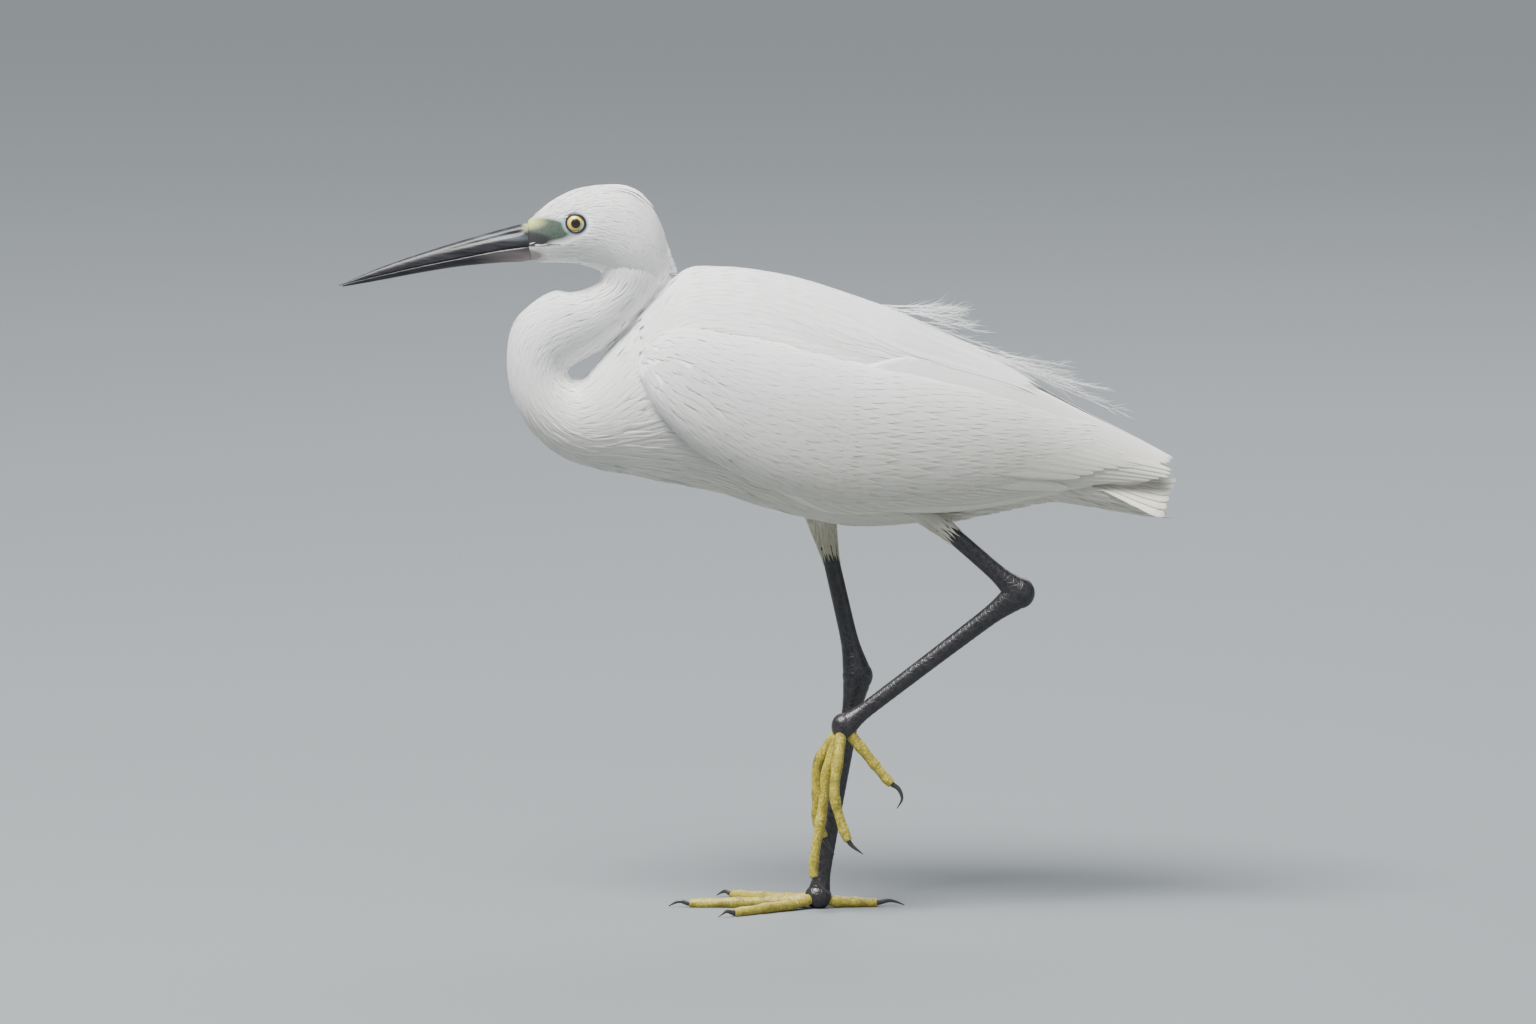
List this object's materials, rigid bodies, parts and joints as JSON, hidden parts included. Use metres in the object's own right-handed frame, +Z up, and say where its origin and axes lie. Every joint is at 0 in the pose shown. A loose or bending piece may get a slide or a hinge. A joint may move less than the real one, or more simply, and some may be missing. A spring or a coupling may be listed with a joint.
{
  "type": "little egret",
  "caption": "Life-size little egret, still: white plumage, dagger bill, folded neck, standing with its left foot raised in mid-step with the other foot raised in mid-step.",
  "frame": {"origin": "the flat sole under the knuckle of the standing right foot, on the floor", "axes": "+Z up; the bird faces -X, its left side is towards -Y"},
  "size_m": [0.3752, 0.0978, 0.3282],
  "materials": {
    "plumage": "soft matt white feathers",
    "bill": "smooth black horn with a soft sheen",
    "eye": "clear wet yellow iris with a black pupil",
    "leg": "black scaled skin with a sheen",
    "toe": "olive yellow scaled skin",
    "claw": "dark horn"
  },
  "bodies": {
    "root": {"head": "plumage", "neck_upper": "plumage", "neck_middle": "plumage", "neck_lower": "plumage", "torso": "plumage", "wing_left": "plumage", "wing_right": "plumage", "scapulars": "plumage", "tail": "plumage", "thigh_left": "plumage", "thigh_right": "plumage", "bill_upper": "bill", "bill_lower": "bill", "eye_left": "eye", "eye_right": "eye", "shank_left": "leg", "tarsus_left": "leg", "foot_left": "leg", "toe_left_middle": "toe", "claw_left_middle": "claw", "toe_left_inner": "toe", "claw_left_inner": "claw", "toe_left_outer": "toe", "claw_left_outer": "claw", "toe_left_hind": "toe", "claw_left_hind": "claw", "shank_right": "leg", "tarsus_right": "leg", "foot_right": "leg", "toe_right_middle": "toe", "claw_right_middle": "claw", "toe_right_inner": "toe", "claw_right_inner": "claw", "toe_right_outer": "toe", "claw_right_outer": "claw", "toe_right_hind": "toe", "claw_right_hind": "claw"}
  },
  "joints": []
}
